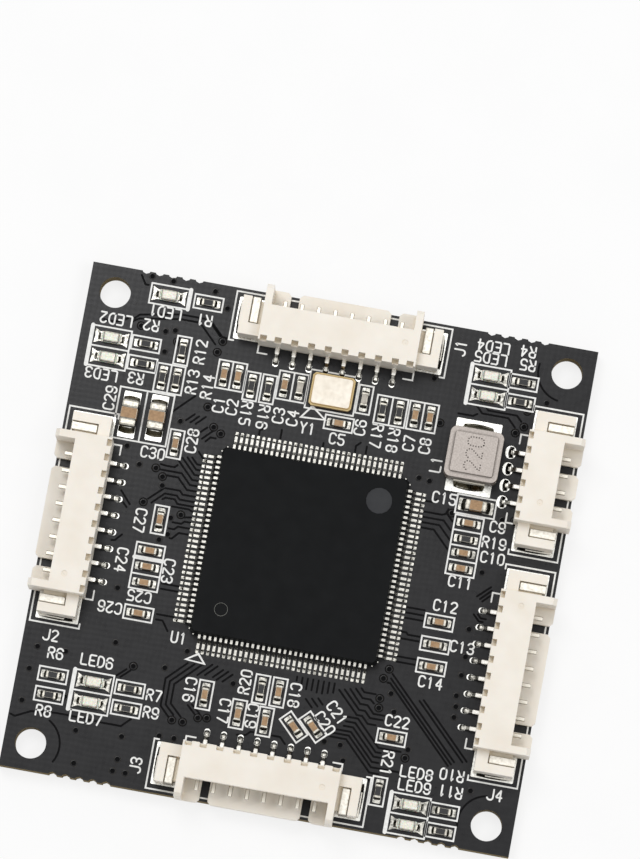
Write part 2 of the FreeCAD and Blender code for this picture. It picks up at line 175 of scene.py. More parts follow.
south_gaps = [
    [(6.2, -8.7), (6.45, -8.95), (7.3, -8.95)], [(5.8, -8.8), (6.4, -9.4), (7.0, -9.4), (7.3, -9.65)],
    [(5.4, -8.9), (6.3, -9.85), (6.85, -9.85), (7.4, -10.4), (8.2, -10.4)],
    [(5.0, -9.0), (6.3, -10.3), (6.75, -10.3), (7.2, -10.75), (8.15, -10.75)],
    [(4.6, -9.1), (6.2, -10.7), (6.6, -10.7), (7.1, -11.2), (7.7, -11.2)],
    [(5.3, -10.95), (6.35, -10.95), (8.2, -12.8), (9.85, -12.8)],
    [(5.5, -11.3), (6.2, -11.3), (8.05, -13.15), (8.45, -13.15)],
    [(5.4, -11.65), (6.1, -11.65), (7.95, -13.5), (8.45, -13.5)],
    [(4.75, -12.0), (6.0, -12.0), (7.9, -13.9), (8.4, -13.9)],
    [(4.6, -12.3), (5.9, -12.3), (7.9, -14.3), (10.1, -14.3)],
    [(4.55, -12.6), (5.75, -12.6), (7.85, -14.7), (8.55, -14.7)], [(2.3, -10.2), (2.85, -10.75)],
    [(2.75, -10.1), (3.25, -10.6)], [(3.2, -10.0), (3.6, -10.4)]]
south_lanes = {4.2: -9.4, 3.8: -9.5, 3.4: -9.6, 3.0: -9.6, 2.6: -9.5, 2.2: -9.5, 1.8: -9.2, 1.4: -9.0}
south_gaps += [[(x, -8.7), (x, end)] for x, end in south_lanes.items()]
southeast_gaps = [
    [(8.25, -7.25), (13.85, -12.85)], [(8.2, -7.6), (13.65, -13.05)],
    [(8.0, -7.95), (8.2, -7.95), (13.45, -13.2)], [(10.85, -8.75), (14.75, -12.65)],
    [(10.55, -8.85), (14.45, -12.75)]]
east_gaps = [
    [(8.35, 5.0), (9.75, 5.0), (10.0, 5.1), (10.15, 5.5)], [(8.35, 4.6), (9.95, 4.6), (10.6, 3.95)],
    [(8.35, 4.2), (9.7, 4.2), (10.6, 3.3)], [(8.35, 3.8), (9.35, 3.8), (10.6, 2.55)],
    [(10.15, 5.1), (10.6, 4.65)], [(8.35, 5.8), (8.95, 5.8), (9.2, 6.05)],
    [(8.35, -4.05), (8.7, -4.05), (8.85, -4.2), (9.75, -4.2)], [(14.25, 0.35), (13.35, -0.5)],
    [(14.35, 0.1), (13.6, -0.65)], [(14.4, -0.2), (13.8, -0.8)],
    [(13.35, -1.85), (13.8, -2.3), (14.1, -2.3)], [(13.65, -1.8), (13.9, -2.05), (14.3, -2.05)]]
east_gaps += [[(8.35, y), (9.75, y)] for y in (-2.2, -2.6, -3.0, -4.55, -5.9, -6.3)]
north_gaps = [
    [(-15.25, 15.35), (-14.9, 15.7), (-11.9, 16.25), (-9.7, 16.25), (-8.6, 15.15), (-8.2, 15.1)],
    [(-15.35, 15.1), (-14.9, 15.4), (-11.85, 15.9), (-10.4, 15.9), (-9.0, 14.5)],
    [(-9.5, 15.9), (-8.75, 15.15)], [(-11.2, 9.0), (-9.75, 10.45)], [(-11.35, 10.25), (-11.1, 10.45)],
    [(-10.1, 8.55), (-9.55, 9.1)], [(-9.75, 8.45), (-9.2, 9.0)], [(-9.35, 8.4), (-8.7, 9.05)],
    [(-8.95, 7.8), (-8.45, 8.3)], [(-8.7, 7.4), (-7.95, 8.15)], [(-8.4, 7.25), (-8.1, 7.6), (-7.7, 7.6)],
    [(10.8, 13.5), (11.35, 12.95), (13.3, 12.95), (13.9, 12.35)],
    [(11.5, 13.5), (11.75, 13.25), (13.9, 13.25), (14.3, 12.85)],
    [(9.6, 12.65), (10.7, 12.65), (11.0, 12.85)], [(-4.6, 8.4), (-4.6, 8.75), (-4.2, 9.15)],
    [(-3.0, 8.4), (-3.0, 9.1)], [(0.2, 8.4), (0.2, 8.7)], [(2.6, 8.4), (2.6, 8.9), (2.9, 9.2)],
    [(3.4, 8.4), (3.4, 9.0)], [(-15.3, 18.65), (-14.9, 18.0), (-14.65, 18.0)]]
hole_place = frame["record"]["mounts"][0]["dims"]["spacing_x_mm"] / 2
hole_arcs = [(-1, 1, 250, 60), (1, 1, 170, 90), (1, -1, 100, 90), (-1, -1, -30, 90)]  # sides, start, sweep
hole_arc_radius = 2.15
hole_arc_steps = 16
via_hole, via_lip, via_ring, via_skirt = 0.15, 0.18, 0.23, 0.27
via_profile = [(0, 0.008), (via_hole, 0.009), (via_lip, 0.014), (via_ring, 0.008), (via_skirt, -sink),
               (0, -sink)]
via_clearance, via_gap = 0.3, 0.07  # the etched circle round a via on its own
ringed_vias = [
    (-11.8, 14.2), (-8.5, 14.8), (-8.75, 13.95), (-14.65, 14.9), (-8.7, 9.8), (-8.0, 8.4), (-7.4, 8.0),
    (-11.65, 4.65), (-11.05, 4.1), (-12.1, 2.0), (-9.2, 1.55), (8.4, 11.7), (14.6, 13.7), (14.55, 12.5),
    (14.0, 11.95), (10.45, 5.25), (15.1, 5.5), (7.95, -6.95), (7.65, -7.7), (7.65, -9.2), (7.7, -9.9),
    (10.25, -13.2), (-10.6, -10.1), (-7.1, -13.5), (-6.3, -13.5), (-5.25, -13.0), (-4.6, -12.9)]
plain_vias = [
    (-14.5, 18.7), (-12.9, 18.6), (-9.7, 18.4), (-8.6, 17.3), (-12.8, 14.8), (-12.1, 15.0), (-12.6, 13.3),
    (-10.5, 8.4), (-14.05, 5.9), (-12.9, 4.7), (-10.95, 3.45), (-9.9, 1.2), (-9.9, -0.05), (-10.45, -0.55),
    (-12.8, -4.6), (7.6, 7.4), (8.4, 7.3), (7.4, 14.9), (14.2, 5.4), (13.4, 1.3), (13.2, -3.0),
    (13.3, -5.05), (13.25, -6.45), (13.15, -8.0), (13.25, -8.8), (13.25, -9.6), (8.4, -8.7), (8.85, -10.0),
    (10.35, -12.55), (15.4, -14.7), (-7.8, -14.8), (-6.7, -14.8), (5.4, -13.1), (5.8, -14.2),
    (7.95, -15.2), (4.2, -13.05), (-17.8, -9.9), (-15.7, -9.9), (-12.2, -8.6), (-18.1, -11.6),
    (-8.3, -9.8), (-18.2, -14.0), (-15.15, -13.2), (-13.9, -15.5), (-10.5, -15.35), (-13.6, -17.9),
    (-6.9, -8.3), (-10.5, -17.05), (-10.7, -17.95), (-9.75, -17.95), (-3.15, -10.05), (15.9, 14.55)]


def ribbon(work, points, width, high, closed=False):
    """A flat stroke of even width along (x, y) points, with mitred corners and round ends."""
    path = [Vector(p).to_2d() for p in points]
    count = len(path)
    spans = count if closed else count - 1
    runs = [(path[(i + 1) % count] - path[i]).normalized() for i in range(spans)]
    rows = []
    for i, point in enumerate(path):
        before = runs[i - 1] if closed or i > 0 else runs[0]
        after = runs[i] if closed or i < count - 1 else runs[-1]
        side = Vector((-before.y - after.y, before.x + after.x))
        reach = side.normalized() * min(width / max(side.length, 1e-6), width)
        rows.append([work.verts.new((*(point + sign * reach), z))
                     for sign in (1, -1) for z in (high, board_top - sink)])
    for i in range(spans):
        a, b = rows[i], rows[(i + 1) % count]
        for corners in ((a[0], a[2], b[2], b[0]), (a[1], b[1], b[3], a[3]),
                        (a[0], b[0], b[1], a[1]), (a[2], a[3], b[3], b[2])):
            work.faces.new(corners)
    if closed:
        return
    end_steps = 4
    for first, last, point, run in ((rows[0][:2], rows[0][2:], path[0], -runs[0]),
                                    (rows[-1][2:], rows[-1][:2], path[-1], runs[-1])):
        start = atan2(run.y, run.x) - pi / 2
        angles = [start + pi * k / end_steps for k in range(1, end_steps)]
        arc = [point + Vector((cos(a), sin(a))) * width / 2 for a in angles]
        top = [first[0]] + [work.verts.new((*p, high)) for p in arc] + [last[0]]
        foot = [first[1]] + [work.verts.new((*p, board_top - sink)) for p in arc] + [last[1]]
        work.faces.new(top)
        work.faces.new(foot[::-1])
        for k in range(end_steps):
            work.faces.new((top[k], foot[k], foot[k + 1], top[k + 1]))


def ring(x, y, radius, steps=20, start=0.0, sweep=360.0):
    """Points on a circle, or on an arc of it in degrees."""
    last = steps if sweep == 360.0 else steps - 1
    angles = [radians(start + sweep * k / last) for k in range(steps)]
    return [(x + radius * cos(a), y + radius * sin(a)) for a in angles]


def lathe(work, x, y, base, profile, materials, steps=16):
    """A closed turned form from (radius, height over base) points that leave the axis and come back, with
    a material slot for the band between each two of them."""
    rows = []
    for radius, height in profile:
        spokes = [(x, y)] if radius == 0 else ring(x, y, radius, steps)
        rows.append([work.verts.new((*spoke, base + height)) for spoke in spokes])
    for a, b, material in zip(rows, rows[1:], materials):
        for k in range(steps):
            corners = [a[k % len(a)], a[(k + 1) % len(a)], b[(k + 1) % len(b)], b[k % len(b)]]
            face = work.faces.new(list(dict.fromkeys(corners)))
            face.material_index = material
            face.smooth = True


def make_piece(name, work, materials, slot, *replaced):
    """A mesh drawn in millimetres becomes a piece that rides on the board."""
    bmesh.ops.recalc_face_normals(work, faces=work.faces)
    work.transform(Matrix.Scale(mm, 4))
    mesh = bpy.data.meshes.new(name)
    work.to_mesh(mesh)
    work.free()
    for material in materials:
        mesh.materials.append(material)
    piece = bpy.data.objects.new(name, mesh)
    bpy.context.scene.collection.objects.link(piece)
    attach(piece, "root")
    if replaced:
        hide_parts(*replaced)


def mask_without_copper(name, dark, light):
    """Mask over bare laminate or a hole: nothing bright behind it, so it looks blacker."""
    sockets = {"Roughness": 0.6, "Specular IOR Level": 0.05}
    return new_material(name, (dark, light), sockets, tone=(0.4, 0, 1, 2))[0]


gap_mask = mask_without_copper("mask_over_etched_gap", "#0a0a0b", "#111112")
work = bmesh.new()
for line in west_gaps + southwest_gaps + south_gaps + southeast_gaps + east_gaps + north_gaps:
    ribbon(work, line, gap_width, board_top + gap_film)
for x, y in ringed_vias:
    ribbon(work, ring(x, y, via_clearance), via_gap, board_top + gap_film + film_step, closed=True)
for x, y, start, sweep in hole_arcs:
    arc = ring(x * hole_place, y * hole_place, hole_arc_radius, hole_arc_steps, start, sweep)
    ribbon(work, arc, gap_width, board_top + gap_film)
make_piece("track_gaps", work, [gap_mask], "solder_mask")

via_mask = mask_without_copper("mask_sagged_in_via", "#040405", "#0a0a0b")
work = bmesh.new()
for x, y in plain_vias + ringed_vias:
    lathe(work, x, y, board_top, via_profile, [1, 1, 0, 0, 0])
make_piece("tented_vias", work, [board_mask, via_mask], "solder_mask")


# Legend: white epoxy ink screened over the cured mask. It outlines the place of each part and names it
# in a plain stroke lettering, with a thick bar at one end of a lamp and a triangle by the first pin.
ink_rise = 0.014
stroke_step = 0.0005  # each stroke of a word lies a hair over the one before
stroke_steps = 5
letter_height = 0.78
letter_width = 0.43
letter_pitch = 0.63
letter_stroke = 0.125
box_stroke = 0.12
bar_stroke = 0.3
bar_shift = 0.09
triangle_stroke = 0.15
stack_bar_drop = 0.6
box_room = {"chip": (0.56, 0.27), "filter": (0.66, 0.3), "supply": (0.87, 0.38), "lamp": (0.62, 0.35),
            "crystal": (0.22, 0.2)}  # from the part to the box along and across it
glyph_columns, glyph_rows = 4, 6
glyph_rounding = 0.6
most_rounding = 0.25  # of a stroke's length
glyphs = {
    "0": [[(1, 0), (3, 0), (4, 1), (4, 5), (3, 6), (1, 6), (0, 5), (0, 1), (1, 0)]],
    "1": [[(1, 5), (2, 6), (2, 0)]],
    "2": [[(0, 5), (1, 6), (3, 6), (4, 5), (4, 4), (0, 0), (4, 0)]],
    "3": [[(0, 5), (1, 6), (3, 6), (4, 5), (4, 4), (3, 3), (1.5, 3)],
          [(3, 3), (4, 2), (4, 1), (3, 0), (1, 0), (0, 1)]],
    "4": [[(3, 0), (3, 6)], [(3, 6), (0, 2), (4, 2)]],
    "5": [[(4, 6), (0, 6), (0, 3.5), (3, 3.5), (4, 2.5), (4, 1), (3, 0), (1, 0), (0, 1)]],
    "6": [[(4, 5), (3, 6), (1, 6), (0, 5), (0, 1), (1, 0), (3, 0), (4, 1), (4, 2.5), (3, 3.5), (0, 3.5)]],
    "7": [[(0, 6), (4, 6), (1.5, 0)]],
    "8": [[(1, 3.2), (0, 4), (0, 5), (1, 6), (3, 6), (4, 5), (4, 4), (3, 3.2), (1, 3.2), (0, 2.2), (0, 1),
           (1, 0), (3, 0), (4, 1), (4, 2.2), (3, 3.2)]],
    "9": [[(0, 1), (1, 0), (3, 0), (4, 1), (4, 5), (3, 6), (1, 6), (0, 5), (0, 3.5), (1, 2.5), (4, 2.5)]],
    "C": [[(4, 5), (3, 6), (1, 6), (0, 5), (0, 1), (1, 0), (3, 0), (4, 1)]],
    "D": [[(0, 0), (2.5, 0), (4, 1.5), (4, 4.5), (2.5, 6), (0, 6), (0, 0)]],
    "E": [[(4, 6), (0, 6), (0, 0), (4, 0)], [(0, 3), (3, 3)]],
    "J": [[(4, 6), (4, 1), (3, 0), (1, 0), (0, 1)]],
    "L": [[(0, 6), (0, 0), (4, 0)]],
    "R": [[(0, 0), (0, 6), (3, 6), (4, 5), (4, 4), (3, 3), (0, 3)], [(2, 3), (4, 0)]],
    "U": [[(0, 6), (0, 1), (1, 0), (3, 0), (4, 1), (4, 6)]],
    "Y": [[(0, 6), (2, 3), (4, 6)], [(2, 3), (2, 0)]],
}
level, upward, downward, over, slanting = 0, 90, -90, 180, -45
label_places = {
    "LED": [(-13.07, 16.2, over), (-16.55, 15.04, over), (-16.9, 10.82, over), (11.3, 18.0, over),
            (11.25, 17.12, over), (-13.3, -10.22, level), (-13.35, -14.46, level), (11.28, -14.14, level),
            (11.3, -15.12, level)],
    "R": [(-10.12, 16.13, over), (-13.92, 15.06, over), (-14.33, 10.95, over), (13.9, 18.1, over),
          (14.04, 17.1, over), (-16.4, -10.18, level), (-8.7, -11.95, level), (-16.5, -14.51, level),
          (-8.7, -13.24, level), (13.86, -13.82, over), (13.96, -15.05, over), (-9.99, 13.74, upward),
          (-10.17, 11.44, upward), (-9.01, 11.27, upward), (-5.85, 9.85, downward), (-4.55, 9.8, downward),
          (3.95, 9.9, downward), (5.2, 9.8, downward), (13.9, 3.6, level), (-2.3, -9.77, upward),
          (9.03, -13.79, downward)],
    "C": [(-7.95, 10.1, upward), (-6.95, 10.1, upward), (-3.45, 10.1, upward), (-2.4, 10.1, upward),
          (1.12, 9.15, level), (2.65, 10.3, upward), (6.4, 9.8, upward), (7.6, 9.8, upward),
          (13.95, 4.81, level), (13.98, 2.48, level), (11.96, 0.3, level), (11.2, -1.65, level),
          (12.95, -4.42, level), (11.1, -7.4, level), (9.7, 6.23, level), (-6.2, -11.05, downward),
          (-3.45, -12.15, downward), (1.46, -10.09, downward), (-1.36, -12.14, downward),
          (4.0, -11.72, slanting), (4.75, -10.8, slanting), (9.22, -10.66, level), (-9.35, -2.72, downward),
          (-12.9, -2.51, downward), (-11.11, -4.95, over), (-13.1, -6.12, over), (-12.09, 0.6, downward),
          (-9.4, 7.1, upward), (-15.94, 9.18, upward), (-12.08, 5.7, level)],
    "L": [(8.65, 8.59, upward)],
    "Y": [(-1.17, 9.55, level)],
    "U": [(-7.7, -7.44, level)],
    "J": [(8.9, 17.45, upward), (-17.0, -8.93, level), (-9.1, -17.24, upward), (17.2, -14.7, level)],
}
pin_triangle = [(-6.05, -8.35), (-6.9, -8.9), (-5.5, -9.0)]
crystal_triangle = [(-1.1, 11.25), (-1.8, 10.3), (0.0, 10.4)]
resistor_count, lamp_count = 21, 9
west_stack_end = -5.0
weld_distance = 1e-7  # in metres, for corners that the facets of a solid repeat
longer = 1.2  # a part that lies along an axis is longer than wide by more than this
Place = namedtuple("Place", "x y turn half_length half_width height")


def solids(node):
    """The separate solids of a node, each as its corner points in millimetres."""
    work = bmesh.new()
    work.from_mesh(frame["nodes"][node].data)
    bmesh.ops.remove_doubles(work, verts=work.verts, dist=weld_distance)
    work.verts.index_update()
    seen, found = set(), []
    for first in work.verts:
        waiting, points = [first], []
        while waiting:
            vert = waiting.pop()
            if vert.index not in seen:
                seen.add(vert.index)
                points.append(vert.co / mm)
                waiting += [edge.other_vert(vert) for edge in vert.link_edges]
        if points:
            found.append(points)
    work.free()
    return found


def place_of(points):
    """Middle, turn in degrees, half length, half width and height of a small part on the board."""
    low = Vector([min(p[i] for p in points) for i in range(3)])
    high = Vector([max(p[i] for p in points) for i in range(3)])
    middle, span = (low + high) / 2, high - low
    lean = sum((p.x - middle.x) * (p.y - middle.y) for p in points)
    turn = 0 if span.x > longer * span.y else 90 if span.y > longer * span.x else 45 if lean > 0 else -45
    along = Vector((cos(radians(turn)), sin(radians(turn)), 0))
    across = Vector((-along.y, along.x, 0))
    half_length, half_width = (max((p - middle).dot(axis) for p in points) for axis in (along, across))
    return Place(middle.x, middle.y, turn, half_length, half_width, span.z)


def places_in(node):
    """The places of a node's parts, from left to right."""
    return sorted(place_of(points) for points in solids(node))


def rounded(points):
    """The same stroke with its corners cut, so that it reads as a curve."""
    corners = [Vector(point) for point in points]
    path = []
    for a, b in zip(corners, corners[1:]):
        step = (b - a) * min(most_rounding, glyph_rounding / (b - a).length)
        path += [a + step, b - step]
    return [corners[0]] + path[1:-1] + [corners[-1]]


def lettering(text, x, y, turn, height, width, pitch):
    """The strokes of a word in the legend's lettering, with its middle at x, y."""
    along = Vector((cos(radians(turn)), sin(radians(turn))))
    up = Vector((-along.y, along.x))
    start = -((len(text) - 1) * pitch + width) / 2
    return [[Vector((x, y)) + along * (start + place * pitch + column * width / glyph_columns)
             + up * (row / glyph_rows - 0.5) * height for column, row in rounded(stroke)]
            for place, character in enumerate(text) for stroke in glyphs[character]]


def outline_round(work, parts, room):
    """A box round parts that lie side by side, with a line between each two; its four corners."""
    room_along, room_across = box_room[room]
    turn, half_width = parts[0].turn, parts[0].half_width
    axis = Vector((cos(radians(turn)), sin(radians(turn))))
    side = Vector((-axis.y, axis.x))
    lanes = sorted(Vector((p.x, p.y)).dot(side) for p in parts)
    ends = [Vector((p.x, p.y)).dot(axis) + sign * (p.half_length + room_along)
            for p in parts for sign in (-1, 1)]
    u0, u1 = min(ends), max(ends)
    v0, v1 = lanes[0] - half_width - room_across, lanes[-1] + half_width + room_across
    corners = [axis * u + side * v for u, v in ((u0, v0), (u1, v0), (u1, v1), (u0, v1))]
    ribbon(work, corners, box_stroke, board_top + ink_rise, closed=True)
    for a, b in zip(lanes, lanes[1:]):
        divider = [axis * u + side * (a + b) / 2 for u in (u0, u1)]
        ribbon(work, divider, box_stroke, board_top + ink_rise - film_step)
    return corners


north, east, south, west = (places_in(side + "_capacitors") for side in ("north", "east", "south", "west"))
filters = places_in("filter_capacitor")
supply = places_in("supply_capacitor_1") + places_in("supply_capacitor_2")
resistors = [places_in("resistor_%d" % i)[0] for i in range(1, resistor_count + 1)]
lamps = [places_in("led_%d" % i)[0] for i in range(1, lamp_count + 1)]
lamp_rows = [(lamps[:1], 1), (lamps[1:3], -1), (lamps[3:5], -1), (lamps[5:7], -1), (lamps[7:], -1)]
west_stack = [p for p in west if p.turn == level and p.y > west_stack_end]
east_stack = [p for p in east if p.y > 0] + [resistors[18]]
# These share a printed box with their neighbours, and the others have one each.
shared = [north[:2], north[2:4], north[6:], resistors[12:14], resistors[16:18], west_stack, east_stack]
alone = [[p] for p in north + east + south + west + resistors if not any(p in parts for parts in shared)]

work = bmesh.new()
for prefix, places in label_places.items():
    for number, place in enumerate(places, 1):
        strokes = lettering(prefix + str(number), *place, letter_height, letter_width, letter_pitch)
        for step, stroke in enumerate(strokes):
            ribbon(work, stroke, letter_stroke, board_top + ink_rise + stroke_step * (step % stroke_steps))
for parts in shared + alone:
    outline_round(work, parts, "chip")
outline_round(work, filters, "filter")
outline_round(work, supply, "supply")
outline_round(work, places_in("crystal_base"), "crystal")
stack_x, stack_half = west_stack[0].x, west_stack[0].half_length + box_room["chip"][0]
stack_bar = max(p.y for p in west_stack) - stack_bar_drop
bars = [[(stack_x - stack_half, stack_bar), (stack_x + stack_half, stack_bar)]]
for parts, end in lamp_rows:
    corners = outline_round(work, parts, "lamp")
    ends = corners[1:3] if end > 0 else corners[::3]
    bars.append([corner + Vector((end * bar_shift, 0)) for corner in ends])
for bar in bars:
    ribbon(work, bar, bar_stroke, board_top + ink_rise + film_step)
for triangle in (pin_triangle, crystal_triangle):
    ribbon(work, triangle, triangle_stroke, board_top + ink_rise + film_step, closed=True)
# Screen-printed epoxy ink is a soft matte white, a little uneven where the coat is thin.
ink = new_material("screened_legend_ink", ("#e6e6e3", "#fafaf8"), {"Roughness": 0.6}, tone=(0.25, 0, 1, 2))[0]
make_piece("legend_ink", work, [ink], "solder_mask")


# Pads: copper lands left free of mask and tinned, one under each end of a part and each lead, wider
# than the metal that stands on them. Reflowed solder climbs from them in small hollow fillets, bright
# where it lies flat and painted dark where it is steep, a painted reflection of the dark board.
pad_rise = 0.03
pad_corner = 0.08
overlap = 0.02  # of solder into the metal that it climbs
lamp_flare = [(-0.2, -0.36), (0.08, -0.36), (0.46, -0.54), (0.4, 0.0), (0.46, 0.54), (0.08, 0.36),
              (-0.2, 0.36)]
lamp_fillet_reach = 0.2
lamp_fillet_half = 0.22
lamp_fillet_spread = 1.3
lamp_climb = 0.3


def plate(work, outline, matrix):
    """A flat pad with that (x, y) outline, from just inside the board to the pads' height."""
    rims = [[work.verts.new(matrix @ Vector((x, y, board_top + z))) for x, y in outline]
            for z in (pad_rise, -sink)]
    work.faces.new(rims[0])
    work.faces.new(rims[1][::-1])
    for k in range(len(outline)):
        n = (k + 1) % len(outline)
        work.faces.new((rims[0][k], rims[1][k], rims[1][n], rims[0][n]))


def land(x0, x1, y0, y1, radius):
    """The outline of a pad with rounded corners."""
    corners = ((x1 - radius, y1 - radius, 0), (x0 + radius, y1 - radius, 90),
               (x0 + radius, y0 + radius, 180), (x1 - radius, y0 + radius, 270))
    return [point for x, y, start in corners for point in ring(x, y, radius, 4, start, 90)]


def fillet(work, matrix, start, end, half_width, height, spread=1.1):
    """Solder that climbs an upright face at start and thins out to end, hollow between."""
    steps, lanes = 6, 9
    hollow, bow, fall = 1.6, 0.25, 0.6
    rows = []
    for i in range(steps):
        t = i / (steps - 1)
        row = []
        for j in range(lanes):
            s = 2 * j / (lanes - 1) - 1
            x = start + (end - start) * t * (1 - bow * s * s)
            z = board_top + pad_rise + height * (1 - t) ** hollow * (1 - fall * abs(s) ** 3)
            row.append(work.verts.new(matrix @ Vector((x, s * half_width * (1 + (spread - 1) * t), z))))
        rows.append(row)
    for a, b in zip(rows, rows[1:]):
        for j in range(lanes - 1):
            work.faces.new((a[j], a[j + 1], b[j + 1], b[j])).smooth = True
    rim = rows[0] + [row[-1] for row in rows[1:]] + rows[-1][-2::-1] + [row[0] for row in rows[-2:0:-1]]
    foot = [work.verts.new((v.co.x, v.co.y, board_top)) for v in rim]
    work.faces.new(foot)
    for k in range(len(rim)):
        n = (k + 1) % len(rim)
        work.faces.new((rim[k], rim[n], foot[n], foot[k]))


def seat(x, y, turn):
    """From a part's own axes, lengthwise along x, to its place on the board."""
    return Matrix.Translation((x, y, 0)) @ Matrix.Rotation(radians(turn), 4, "Z")


def tinned(name, slope_shade, bright, levels, patches, rough=(0.18, 0.36)):
    """Tin metal, bright where it lies level, with painted shade on its slopes: the slope tone stands in for
    the dark things that they reflect. Uneven patches lie over both.
    """
    material, tree, shader, colour, grain = new_material(
        name, (slope_shade, bright), {"Metallic": 1.0},
        tone=(0.22, -patches, 0.3 * patches, 2), rough=(0.15, *rough, 2))
    share = add_node(tree, "Math", {0: levelness(tree, *levels), 1: grain["tone"]}, use_clamp=True)
    tree.links.new(share.outputs[0], colour.inputs[0])
    tree.links.new(grain["rough"], shader.inputs["Roughness"])
    return material


# Solder in a good depth is a bright mirror whose slopes are painted olive, a painted reflection of the dark
# board; a thin coat is patchy and half dark, with its slopes painted darker still.
solder = tinned("reflowed_tin_solder", "#4f4a3a", "#f0efe9", (0.75, 0.97), 0.3)
thin_solder = tinned("reflowed_thin_solder", "#28261e", "#cccac2", (0.75, 0.97), 0.8)
# For each set: how far the land runs under the part and out of it, how far the fillet reaches, how much
# wider than the part both are, and what share of the part's height the solder climbs.
small_chips = north + east + south + west + resistors
pad_sets = (("small_chip_pads", small_chips, thin_solder, 0.2, 0.38, 0.16, 0.03, 0.7),
            ("filter_pads", filters, thin_solder, 0.3, 0.5, 0.3, 0.05, 0.6),
            ("supply_pads", supply, solder, 0.4, 0.72, 0.42, 0.0, 0.5))
for name, parts, metal, under, out, reach, wider, climb in pad_sets:
    work = bmesh.new()
    for x, y, turn, half_length, half_width, height in parts:
        side = half_width + wider
        for end in (0, 180):
            matrix = seat(x, y, turn + end)
            plate(work, land(half_length - under, half_length + out, -side, side, pad_corner), matrix)
            fillet(work, matrix, half_length - overlap, half_length + reach, side - overlap, climb * height,
                   spread=1.0)
    make_piece(name, work, [metal], "tinned_metal")

work = bmesh.new()
for x, y, turn, half_length, half_width, height in lamps:
    for end in (0, 180):
        matrix = seat(x, y, turn + end)
        plate(work, [(half_length + out, across) for out, across in lamp_flare], matrix)
        fillet(work, matrix, half_length - overlap, half_length + lamp_fillet_reach, lamp_fillet_half,
               lamp_climb * height, lamp_fillet_spread)
make_piece("lamp_pads", work, [thin_solder], "tinned_metal")


# Switch chip: a square package moulded in epoxy over the die, with a shallow pin-one dimple and the mark
# of an ejector pin. Its tinned copper leads are stamped with the frame, bent into gull wings on all four
# sides and soldered by their toes; the frame's tie bars are cut off flush beside the corners.
chip_edge = 0.06
chip_low, chip_high = (Vector(corner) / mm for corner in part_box("switch_chip_body"))
lead_line = (chip_low.z + chip_high.z) / 2
lead_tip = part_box("switch_chip_leads")[1].x / mm
mark_zone = 6.5
mark_depth = 0.06
pressed_from = 0.5  # as a share of that depth, like the rim
rim_from, rim_to = 0.02, 0.9
lead_pad_under, lead_pad_out = 0.6, 0.34
lead_pad_half = 0.105
lead_pad_corner = 0.05
lead_fillet_reach = 0.15
lead_fillet_half = 0.1
lead_climb = 0.12
tie_bar_place = 6.67
tie_bar_width = 0.1
tie_bar_length = 0.14


def softened(node, edge, segments=2):
    """A copy of a node's solids with their sharp edges rounded, drawn in millimetres."""
    flat_angle, sharp_angle = radians(1), radians(20)
    work = bmesh.new()
    work.from_mesh(frame["nodes"][node].data)
    bmesh.ops.remove_doubles(work, verts=work.verts, dist=weld_distance)
    work.transform(Matrix.Scale(1 / mm, 4))
    bmesh.ops.dissolve_limit(work, angle_limit=flat_angle, verts=work.verts, edges=work.edges)
    sharp = [e for e in work.edges if e.is_manifold and e.calc_face_angle() > sharp_angle]
    bmesh.ops.bevel(work, geom=sharp, offset=edge, offset_type="OFFSET", segments=segments, profile=0.5,
                    affect="EDGES", clamp_overlap=True)
    return work


def moulded_epoxy(name, dark, light, gloss):
    """Silica-filled moulding epoxy: a matte charcoal black with a fine even grit, drawn twice as coarse."""
    grit_depth_mm = 0.006
    material, tree, shader, _, grain = new_material(
        name, (dark, light), {"Roughness": 0.55, "Specular IOR Level": gloss},
        tone=(1.5, 0, 1, 6), grit=(0.06, 0, 1, 2))
    bump = add_node(tree, "Bump", {"Height": grain["grit"], "Strength": 0.25, "Distance": grit_depth_mm * mm})
    tree.links.new(bump.outputs["Normal"], shader.inputs["Normal"])
    return material


# The pressed floor of the ejector mark is greyer than the top, and the dimple's rim carries a painted
# highlight, a lighter grey where it catches the light.
epoxy = moulded_epoxy("moulded_chip_epoxy", "#111213", "#161718", 0.06)
pressed_epoxy = moulded_epoxy("ejector_pressed_epoxy", "#343537", "#3c3d3f", 0.1)
rim_highlight_epoxy = moulded_epoxy("dimple_rim_painted_highlight", "#5e5e5a", "#777772", 0.3)
work = softened("switch_chip_body", chip_edge)
for face in work.faces:
    middle = face.calc_center_median()
    below = (chip_high.z - middle.z) / mark_depth
    in_mark_zone = max(abs(middle.x), abs(middle.y)) < mark_zone
    if in_mark_zone and middle.x > 0 and below > pressed_from:
        face.material_index = 1
    # Painted highlight: the faces of the dimple's rim take the lighter epoxy.
    if in_mark_zone and middle.x < 0 and rim_from < below < rim_to:
        face.material_index = 2
make_piece("chip_package", work, [epoxy, pressed_epoxy, rim_highlight_epoxy], "chip_moulding", "switch_chip_body")

# Plated leads are bright on their flats, and the bends between are painted nearly black, a painted reflection
# of the dark board.
lead_tin = tinned("trimmed_lead_tin", "#33322f", "#bebcb5", (0.72, 0.95), 0.15)
leads = frame["nodes"]["switch_chip_leads"]
leads.data.materials.clear()
leads.data.materials.append(lead_tin)

work = bmesh.new()
for points in solids("switch_chip_leads"):
    lead = place_of(points)
    turn = round(atan2(lead.y, lead.x) / (pi / 2)) * 90
    lane = (seat(0, 0, -turn) @ Vector((lead.x, lead.y, 0))).y
    matrix = seat(0, 0, turn) @ Matrix.Translation((lead_tip, lane, 0))
    plate(work, land(-lead_pad_under, lead_pad_out, -lead_pad_half, lead_pad_half, lead_pad_corner), matrix)
    fillet(work, matrix, -overlap, lead_fillet_reach, lead_fillet_half, lead_climb, spread=1.0)
make_piece("chip_lead_solder", work, [thin_solder], "tinned_metal")

